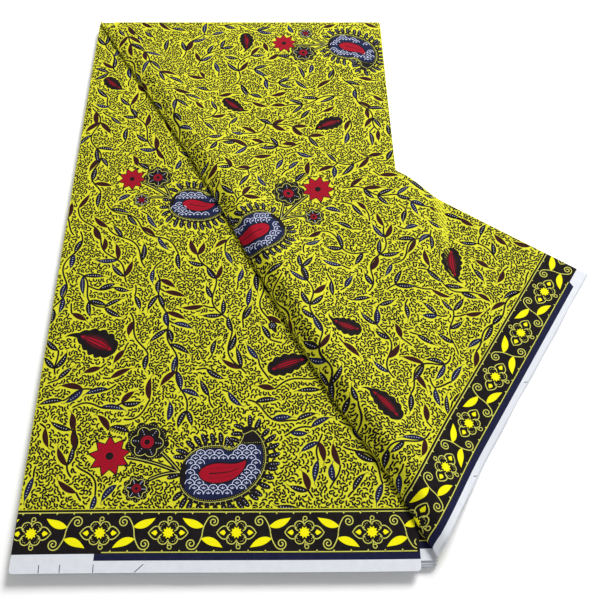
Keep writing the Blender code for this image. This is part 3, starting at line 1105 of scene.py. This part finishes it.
def boteh(cloth, x, y, heading, size, turn):
    """A curved drop in the old paisley manner: dark petals, a comb, a scaled body and a red heart."""
    line = path(x, y, heading, [(size * 0.55, turn * 0.1), (size * 0.75, turn)], size / 36)
    swell = size * 0.36 * hump(len(line), 0.58, 0.72)
    outer = tapered(line, swell + 1.6)
    petals(cloth, outer)
    cloth.fill("black", outer)
    cloth.cover(outer)
    comb = tapered(line[1:-3], np.maximum(swell[1:-3] - 1, 0.2))
    cloth.stroke("pale", comb, 0.45)
    for place, out in zip(np.array(comb)[1::2], across(comb)[1::2]):
        cloth.stroke("pale", [place, place + out * 1.7], 0.35)
    beads(cloth, "pale", tapered(line[2:-8], np.maximum(swell[2:-8] - 2.3, 0.1)), 1.5, 0.27)
    body = tapered(line[3:-9], np.maximum(swell[3:-9] - 3.3, 0.1))
    cloth.fill("blue", body)
    middle = np.array(line[8:-16])
    core = size * 0.125 * hump(len(middle), 0.7, 0.8)
    heart = tapered(middle, core + 0.05)
    scales(cloth, body, heart)
    cloth.fill("red", heart)
    cloth.stroke("ink", heart + heart[:1], 1)
    cloth.stroke("ink", middle[5:-5], np.linspace(0.9, 0.4, len(middle) - 10))
    for flank in (-0.5, 0.5):
        vein = middle + across(middle) * (core * flank)[:, None]
        beads(cloth, "ink", vein[4:-6], 1.6, 0.32)


def petals(cloth, outline):
    """Dark petals with light dots, round the rim of a drop."""
    rim = np.array(outline)
    out = across(rim)
    walked = walked_along(rim)
    for distance in np.arange(2, walked[-1] - 1, 5.8):
        k = min(int(np.searchsorted(walked, distance)), len(rim) - 1)
        way = math.atan2(out[k][1], out[k][0])
        petal = path(*(rim[k] - out[k] * 1.2), way, [(cloth.rng.uniform(9, 11), 0.45)], 0.8)
        cloth.fill("black", tapered(petal, 2.25 * hump(len(petal), 1.2, 0.6, 0.16, 0.96)))
        beads(cloth, "lilac", petal[3:-1], 2, 0.32)
        cloth.mark(petal, 1.5)


def scales(cloth, body, heart):
    """Rows of light scallops, each with a small spray in it, over the body but not its heart."""
    low = np.min(body, axis=0)
    high = np.max(body, axis=0)
    for row, y in enumerate(np.arange(low[1], high[1], 3.9)):
        for x in np.arange(low[0] + (3.6 if row % 2 else 0), high[0], 7.2):
            ends = np.array([(x - 2, y), (x + 2, y), (x, y + 2.8), (x, y - 0.2)])
            near = ends + np.array([(-1.6, 0), (1.6, 0), (0, 1), (0, 0)])
            if inside_outline(*ends.T, body).all() and not inside_outline(*near.T, heart).any():
                cloth.stroke("lilac", [polar(x, y, 3.5, t) for t in np.linspace(0, math.pi, 10)], 0.55)
                for angle in (0.6, 1.57, 2.54):
                    cloth.stroke("lilac", [(x, y + 0.1), polar(x, y + 0.1, 1.7, angle)], 0.5)


def blossom(cloth, x, y, size, turn):
    """A round flower: a lobed dark disc with a pale outline, beads and a red eye."""
    angles = np.arange(72) * math.pi / 36
    outline = rosette(x, y, size * (0.94 + 0.07 * np.cos(9 * angles)), turn)
    cloth.fill("black", outline)
    cloth.cover(outline)
    lobes = rosette(x, y, size * (0.56 + 0.18 * np.abs(np.cos(3 * angles))), turn)
    cloth.stroke("pale", lobes + lobes[:1], 0.5)
    beads(cloth, "pale", rosette(x, y, [size * 0.84] * 40), 2, 0.33)
    for k in range(6):
        for share in (0.4, 0.52, 0.62):
            cloth.dot("lilac", *polar(x, y, size * share, turn + k * math.pi / 3), 0.36)
    cloth.dot("red", x, y, size * 0.3, 18)
    cloth.dot("ink", x, y, size * 0.13, 12)
    cloth.stroke("ink", circle(x, y, size * 0.22, 24), 0.35)


def dahlia(cloth, x, y, size, turn):
    """A red flower of pointed petals with a dark rim, dark beads and a dark eye."""
    for dye, grow in (("black", 1.6), ("red", 0)):
        radii = (size * 0.66 + grow * 0.6, size + grow * 1.4) * 9
        cloth.fill(dye, rosette(x, y, radii, turn))
    cloth.cover(rosette(x, y, [size * 0.96] * 40))
    for share in (0.34, 0.48, 0.62):
        beads(cloth, "ink", circle(x, y, size * share, 30), 1.7, 0.33)
    cloth.dot("ink", x, y, size * 0.2, 14)


def tuft(cloth, x, y, heading, hand):
    """A row of thin curved blades."""
    for k in range(8):
        dx, dy = turned(0.4 * k, 2 * k * hand, heading)
        blade = path(x + dx, y + dy, heading - 0.1 * k * hand, [(11 - 0.5 * k, -0.7 * hand)], 1.6)
        cloth.stroke("black", blade, np.linspace(1.15, 0.6, len(blade)))
        cloth.mark(blade, 0.3, clear=1)


# A posy's flowers and leaves, ahead of its drop's round end and aside, as shares of its size
POSY_FLOWERS = table(
    "kind ahead aside size",
    (blossom, -0.36, 0.34, 0.27),
    (dahlia, -0.78, 0.12, 0.24),
    (blossom, -0.38, -0.24, 0.17),
)
POSY_LEAVES = table(
    "ahead aside spread dye",
    (-0.62, -0.22, -2.5, "navy"),
    (-0.6, 0.44, 2.6, "black"),
    (-0.16, 0.64, 1.3, "navy"),
    (-0.86, 0.44, 2, "maroon"),
)


def posy(cloth, x, y, heading, size, turn):
    """A drop with round and red flowers on thin stems beside its round end, blades and leaves."""
    heading = math.radians(heading)
    turn = math.radians(turn)
    hand = math.copysign(1, turn)

    def place(ahead, aside):
        dx, dy = turned(ahead * size, aside * size * hand, heading)
        return x + dx, y + dy

    root = place(0.1, 0)
    for row in POSY_FLOWERS:
        end = place(row["ahead"], row["aside"])
        bend = place(row["ahead"] * 0.5, row["aside"] * 0.5 + 0.1)
        reach = 1 - row["size"] * size / math.dist(root, end)
        stem = curve((root, bend, end), np.linspace(0, reach, 20))
        cloth.stroke("black", stem, 3.4)
        cloth.stroke("pale", stem, 0.5)
        cloth.mark(stem, 1.2)
    boteh(cloth, *root, heading, size, turn)
    for row in POSY_FLOWERS:
        row["kind"](cloth, *place(row["ahead"], row["aside"]), row["size"] * size, heading)
    tuft(cloth, *place(-0.66, 0.4), heading + math.pi / 2 * hand, hand)
    for row in POSY_LEAVES:
        way = heading + row["spread"] * hand
        leaf(cloth, *place(row["ahead"], row["aside"]), way, size * 0.26, 5, 0.7 * hand, row["dye"])


def scroll_half():
    """Half of the border's scroll: from its middle to the eye of its spiral."""
    eye = (8, -8)
    radius = 4.6
    first = math.radians(215)
    start = polar(*eye, radius, first)
    controls = ((0, 0), (0.2, -4), (start[0] - 2, start[1] + 2.9), start)
    spiral = [
        polar(*eye, radius - 3.8 * t**0.8, first + math.radians(590) * t) for t in np.linspace(0, 1, 26)
    ]
    return np.vstack([curve(controls, np.linspace(0, 1, 7)[:-1]), spiral])


def scroll(cloth, x, y, flip):
    """The border's scroll with its two bright leaves."""
    half = scroll_half() * (flip, 1)
    run_x, run_y = 16 * flip, 6.4
    bend = 0.45 * flip
    way = math.atan2(run_y, run_x) - bend / 2
    for sign in (1, -1):
        cloth.stroke("pale", half * sign + (x, y), 0.8)
    for sign, heading in ((1, way), (-1, math.atan2(-run_y, -run_x) - bend / 2)):
        line = path(
            x - 0.8 * flip * sign, y + 4.4 * sign, heading, [(math.hypot(run_x, run_y), bend)], 1.2
        )
        cloth.fill("bright", tapered(line, 2.8 * hump(len(line), 0.85) + 0.05))


# The border flower's pointed petal and its bright heart, from the flower's middle
BORDER_PETAL = ((5.8, -3.2), (9.8, -7.4), (14.6, 0))
BORDER_HEART = np.array([(7.9, 0), (9.2, -2), (10.7, -1.4), (12.6, 0), (10.7, 1.4), (9.2, 2)])


def border_flower(cloth, x, y):
    """The border's flower: two pointed petals, four round ones, a bright eye and two curls."""
    side = curve(BORDER_PETAL, np.linspace(0, 1, 9))
    petal = np.vstack([side, side[-2::-1] * (1, -1)])
    for sign in (1, -1):
        cloth.stroke("pale", petal * (sign, 1) + (x, y), 0.75)
        cloth.fill("bright", BORDER_HEART * (sign, 1) + (x, y))
        arcs = [(3, -0.4 * sign), (8, -5.6 * sign)]
        cloth.stroke("pale", path(x - 0.4 * sign, y + 7.4 * sign, 1.9 * sign, arcs, 0.7), 0.65)
        for flank in (1, -1):
            middle = (x + 3.6 * sign, y + 4.7 * flank)
            cloth.stroke("pale", circle(*middle, 3.6, 18), 0.7)
            for k in (-1, 0, 1):
                cloth.dot("pale", *polar(*middle, 1.7, math.atan2(flank, sign) + k * 0.85), 0.32)
    cloth.dot("ink", x, y, 4.7, 16)
    cloth.fill("spark", rosette(x, y, (4.5, 3) * 10))


def border(cloth, start, first, last, stripe_start, stripe_end):
    """The border's band between two places along the selvedge, with a line along its dark stripe."""
    lines = table(
        "level way first last",
        (STRIPE * 1000 + 0.9, 1, stripe_start, stripe_end),
        (BAND_MM - 2.1, -1, first, last),
    )
    for row in lines:
        level = row["level"]
        cloth.stroke("pale", [(a, level) for a in np.linspace(row["first"], row["last"], 90)], 0.75)
        for a in np.arange(row["first"] + 6, row["last"], FLOWER_REPEAT / 4):
            points = [(a - 1.1, level), (a + 1.1, level), (a, level + 1.8 * row["way"])]
            cloth.add("pale", points, [(0, 1, 2)])
    number = math.floor((first - start) / FLOWER_REPEAT) - 1
    while start + number * FLOWER_REPEAT < last + FLOWER_REPEAT:
        middle = start + number * FLOWER_REPEAT
        border_flower(cloth, middle, BAND_MIDDLE)
        scroll(cloth, middle + FLOWER_REPEAT / 2, BAND_MIDDLE, 1 if number % 2 else -1)
        number += 1


# Small scribbles that fill the field: each is a row of arcs, a length in millimetres and a turn
SCRIBBLES = (
    ((2.6, 0.3), (4, 3.7)),
    ((3.4, 2.7), (3.4, -2.7)),
    ((6.4, 4.2),),
    ((1.9, -0.6), (5, 4.8)),
    ((2.2, 1.2), (2.6, -2), (2.2, 1.3)),
    ((2.1, 0.1), (3.3, 3.1), (1.8, 0.1)),
    ((4, 1.8),),
)
SCRIBBLE_WIDTH = 1.44
SCRIBBLE_ROOM = 2.3
SCRIBBLE_TRIES = 3
SCRIBBLE_SCALES = (1, 0.76, 0.52)
SCRIBBLE_TURNS = 20


def scribble_shapes(scale):
    """The scribbles at one scale: for each kind and turn, its shape, its cells and the room round it."""
    near = range(-3, 4)
    span = np.array([(i, j) for i in near for j in near if math.hypot(i, j) < SCRIBBLE_ROOM])
    kinds = []
    for arcs in SCRIBBLES:
        fine = np.array(path(0, 0, 0, arcs, 0.4))
        fine = (fine - fine.mean(axis=0)) * scale
        for mirror in (1, -1):
            turns = []
            for k in range(SCRIBBLE_TURNS):
                angle = k * 2 * math.pi / SCRIBBLE_TURNS
                line = np.column_stack(turned(fine[:, 0], fine[:, 1] * mirror, angle))
                cells = np.unique(np.round(line / CELL).astype(int), axis=0)
                room = np.unique((cells[:, None, :] + span[None, :, :]).reshape(-1, 2), axis=0)
                turns.append((*stroke_shape(line[::2], SCRIBBLE_WIDTH), cells, room))
            kinds.append(turns)
    return kinds


def scribble_field(cloth):
    """Fills the free cloth, in a winding sweep, with scribbles that keep clear of each other."""
    rng = cloth.rng
    busy = cloth.close | ~cloth.inside
    for scale in SCRIBBLE_SCALES:
        kinds = scribble_shapes(scale)
        order = np.argwhere(~busy)
        sweep = order[:, 0] + 9 * np.sin(order[:, 1] / 19) + 5 * np.sin(order[:, 1] / 8.3 + 1)
        for i, j in order[np.argsort(sweep, kind="stable")].tolist():
            if busy[i, j]:
                continue
            x, y = i * CELL - MARGIN, j * CELL - MARGIN
            drift = 1.4 * noise.noise(Vector((x * 0.03, y * 0.03, 0))) + rng.uniform(-0.1, 0.1)
            turn = int(drift * SCRIBBLE_TURNS) % SCRIBBLE_TURNS
            for _ in range(SCRIBBLE_TRIES):
                points, triangles, cells, room = kinds[rng.randrange(len(kinds))][turn]
                if not busy[cells[:, 0] + i, cells[:, 1] + j].any():
                    busy[room[:, 0] + i, room[:, 1] + j] = True
                    cloth.add("scribble", points + (x, y), triangles)
                    break


def fill_field(cloth, posies, pods, tries, limits):
    """The field's print: posies and pods at listed places, then vines and scribbles."""
    for row in posies:
        posy(cloth, **row)
    for row in pods:
        angles = {key: math.radians(row[key]) for key in ("heading", "turn")}
        pod(cloth, **{**row, **angles})
    sprout(cloth, tries)
    scribble_field(cloth)
    cloth.settle(limits)


# How far the field is drawn beyond its edges before it is cut, in millimetres
OVER = 3


def left_field(x, y):
    """Where the left panel's field is printed, in millimetres, and a little beyond its edges."""
    depth = y - DEPTH_MM
    out = x * CREASE_SIN + depth * CREASE_COS
    s = x * CREASE_COS - depth * CREASE_SIN
    bow = crease_bow(s / CREASE_LENGTH / 1000) * 1000
    return (x > -OVER) & (y > BAND_MM - 2) & (out < bow + 5) & (depth < OVER)


def top_field(x, y):
    """Where the top panel's field is printed behind the turned corner."""
    depth = y - DEPTH_MM
    return (beyond_edge(x, depth) > -OVER) & (depth < OVER) & (x < WIDTH_MM + OVER) & (x > 20)


def flap_field(x, y):
    """Where the turned corner's field is printed."""
    ends = (x < CREASE_END_X * 1000 + OVER) & (y < DEPTH_MM + OVER)
    return (x * CREASE_SIN - y * CREASE_COS > -9) & ends & (y > BAND_MM - 2)


def no_field(x, y):
    """No field shows."""
    return np.zeros(x.shape, dtype=bool)


# Straight lines that the print ends at: a direction to the inner side, and how far along it
FIELD_FRONT = table("x y from", (0, 1, BAND_MM + 0.6))
STACK_LIMITS = table(
    "x y from", (1, 0, 0.25), (-1, 0, 0.9 - WIDTH_MM), (0, -1, 0.7 - DEPTH_MM)
)
LEFT_LIMITS = STACK_LIMITS + table("x y from", (-1, 0, -295.5))
UNDER_LIMITS = STACK_LIMITS + table("x y from", (1, 0, 240))
FLAP_LIMITS = table(
    "x y from",
    (-1, 0, 0.3 - CREASE_END_X * 1000),
    (0, -1, 0.7 - DEPTH_MM),
    (CREASE_SIN, -CREASE_COS, -12),
    (0, 1, FLAP_TRIM * 1000 + 0.3),
)

# The posies and pods: places in millimetres, directions in degrees
POSY_COLUMNS = "x y heading size turn"
LEFT_POSIES = table(POSY_COLUMNS, (112, 74, -6, 64, 125), (90, 340, -24, 52, 120))
TOP_POSIES = table(POSY_COLUMNS, (246, 550, -8, 54, -120))
FLAP_POSIES = table(POSY_COLUMNS, (196, 262, 164, 62, -125))
POD_COLUMNS = "x y heading length width turn"
LEFT_PODS = table(
    POD_COLUMNS,
    (58, 176, 142, 38, 21, 22),
    (186, 158, 28, 36, 15, -18),
    (16, 500, -60, 25, 12, 30),
)
TOP_PODS = table(
    POD_COLUMNS, (160, 566, -70, 27, 12.5, -30), (262, 436, 190, 30, 14, 26)
)
FLAP_PODS = table(
    POD_COLUMNS,
    (264, 120, 200, 35, 16, 30),
    (136, 142, 120, 27, 14, -28),
    (290, 400, 250, 27, 13, 30),
    (80, 76, 60, 34, 15, 25),
)

# Thin marks in the white selvedge: a place along it and how far the mark leans, in millimetres
LEFT_MARKS = table("a lean", (21, 0.3), (36, 0.2), (60, 0.2), (96, -6))
FLAP_MARKS = table("a lean", (78, 6), (176, 5))


def selvedge_marks(cloth, rows):
    """Thin blue marks across the white selvedge."""
    for row in rows:
        line = [(row["a"], 6), (row["a"] + row["lean"] / 2, 3.3), (row["a"] + row["lean"], 0.6)]
        cloth.stroke("navy", line, 0.55)


# The camera's yaw, pitch and roll in radians, its place from the stack's back left corner, and its lens
CAMERA_ANGLES = (0.0508, 1.04, 0.0341)
CAMERA_PLACE = (0.1972, -0.69, 0.574)
CAMERA_LENS = 44.93
LIGHTS = table(
    "name place size power",
    ("key", (0.72, 1.25, 1.5), 0.95, 59),
    ("fill", (-0.9, -1.1, 1.7), 1.6, 3),
)
WORLD_STRENGTH = 0.36
FLOOR_HALF = 3
FLOOR_LEVEL = -0.0003


def photo_camera():
    """The photograph's viewpoint."""
    yaw, pitch, roll = CAMERA_ANGLES
    ahead = Vector((math.sin(yaw) * math.cos(pitch), math.cos(yaw) * math.cos(pitch), -math.sin(pitch)))
    right = Vector((math.cos(yaw), -math.sin(yaw), 0))
    up = right.cross(ahead)
    side = right * math.cos(roll) + up * math.sin(roll)
    top = up * math.cos(roll) - right * math.sin(roll)
    data = bpy.data.cameras.new("camera")
    data.lens = CAMERA_LENS
    data.sensor_width = 36
    data.clip_start = 0.01
    data.clip_end = 50
    camera = bpy.data.objects.new("camera", data)
    place = Vector((STACK_LEFT, STACK_BACK, 0)) + Vector(CAMERA_PLACE)
    camera.matrix_world = Matrix.Translation(place) @ Matrix((side, top, -ahead)).transposed().to_4x4()
    bpy.context.scene.collection.objects.link(camera)
    bpy.context.scene.camera = camera


def studio_light():
    """Soft square lights aimed at the cloth, one strong from behind on the right, and a white room."""
    for row in LIGHTS:
        data = bpy.data.lights.new(row["name"], "AREA")
        data.shape = "SQUARE"
        data.size = row["size"]
        data.energy = row["power"]
        lamp = bpy.data.objects.new(row["name"], data)
        lamp.location = row["place"]
        lamp.rotation_mode = "QUATERNION"
        lamp.rotation_quaternion = (-Vector(row["place"])).to_track_quat("-Z", "Y")
        bpy.context.scene.collection.objects.link(lamp)
    world = bpy.data.worlds.new("studio")
    world.use_nodes = True
    background = world.node_tree.nodes["Background"]
    background.inputs["Color"].default_value = (1, 1, 1, 1)
    background.inputs["Strength"].default_value = WORLD_STRENGTH
    bpy.context.scene.world = world
    bpy.context.scene.view_settings.view_transform = "Standard"


def floor():
    """A plain white floor."""
    mesh = bpy.data.meshes.new("floor")
    sides = ((-1, -1), (1, -1), (1, 1), (-1, 1))
    corners = [(x * FLOOR_HALF, y * FLOOR_HALF, FLOOR_LEVEL) for x, y in sides]
    mesh.from_pydata(corners, [], [(0, 1, 2, 3)])
    material = bpy.data.materials.new("pale_floor")
    material.use_nodes = True
    shader = material.node_tree.nodes["Principled BSDF"]
    shader.inputs["Base Color"].default_value = (0.98, 0.98, 0.98, 1)
    shader.inputs["Roughness"].default_value = 0.9
    mesh.materials.append(material)
    ground = bpy.data.objects.new("floor", mesh)
    bpy.context.scene.collection.objects.link(ground)


photo_camera()
studio_light()
floor()

finishes = [
    cotton("white_selvedge", WHITE),
    dark_cotton("navy_stripe", NAVY),
    dark_cotton("black_band", BLACK),
    cotton("yellow_field", YELLOW),
    printed_fold("printed_fold"),
]

left = Cloth("left", left_surface, left_field, 11)
border(left, LEFT_FLOWER_START, -2, 300, LEFT_STRIPE_START * 1000 + 3, 300)
selvedge_marks(left, LEFT_MARKS)
left.settle(LEFT_LIMITS)
fill_field(left, LEFT_POSIES, LEFT_PODS, 9000, LEFT_LIMITS + FIELD_FRONT)

top = Cloth("top", top_surface, top_field, 12)
fill_field(top, TOP_POSIES, TOP_PODS, 6000, STACK_LIMITS)

flap = Cloth("flap", flap_surface, flap_field, 13)
border(flap, FLAP_FLOWER_START, -10, 309, -10, FLAP_STRIPE_END * 1000)
selvedge_marks(flap, FLAP_MARKS)
flap.settle(FLAP_LIMITS)
fill_field(flap, FLAP_POSIES, FLAP_PODS, 9000, FLAP_LIMITS + FIELD_FRONT)

under = Cloth("under", under_surface, no_field, 14)
border(under, LEFT_FLOWER_START + 8, 240, 312, 240, 312)
under.settle(UNDER_LIMITS)

# Each sheet's print, the nodes it replaces, what it rests on, and its area if a panel's part shows
turned_nodes = ["turned_flap", "crease_roll", "crease_swell", "hanging_corner"]
sheets = table(
    "piece print nodes rests area",
    (hidden_piece(finishes), None, ["hidden_layers"], [], None),
    (under_piece(finishes), under, ["under_panel"], ["hidden_layers"], None),
    (left_piece(finishes), left, ["left_panel"], ["under_panel"], None),
    (top_piece(finishes), top, ["top_panel"], ["left_panel"], 0.085),
    (flap_piece(finishes), flap, turned_nodes, ["top_panel"], 0.095),
)
for row in sheets:
    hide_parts(*row["nodes"])
    dyes = row["print"].build() if row["print"] else []
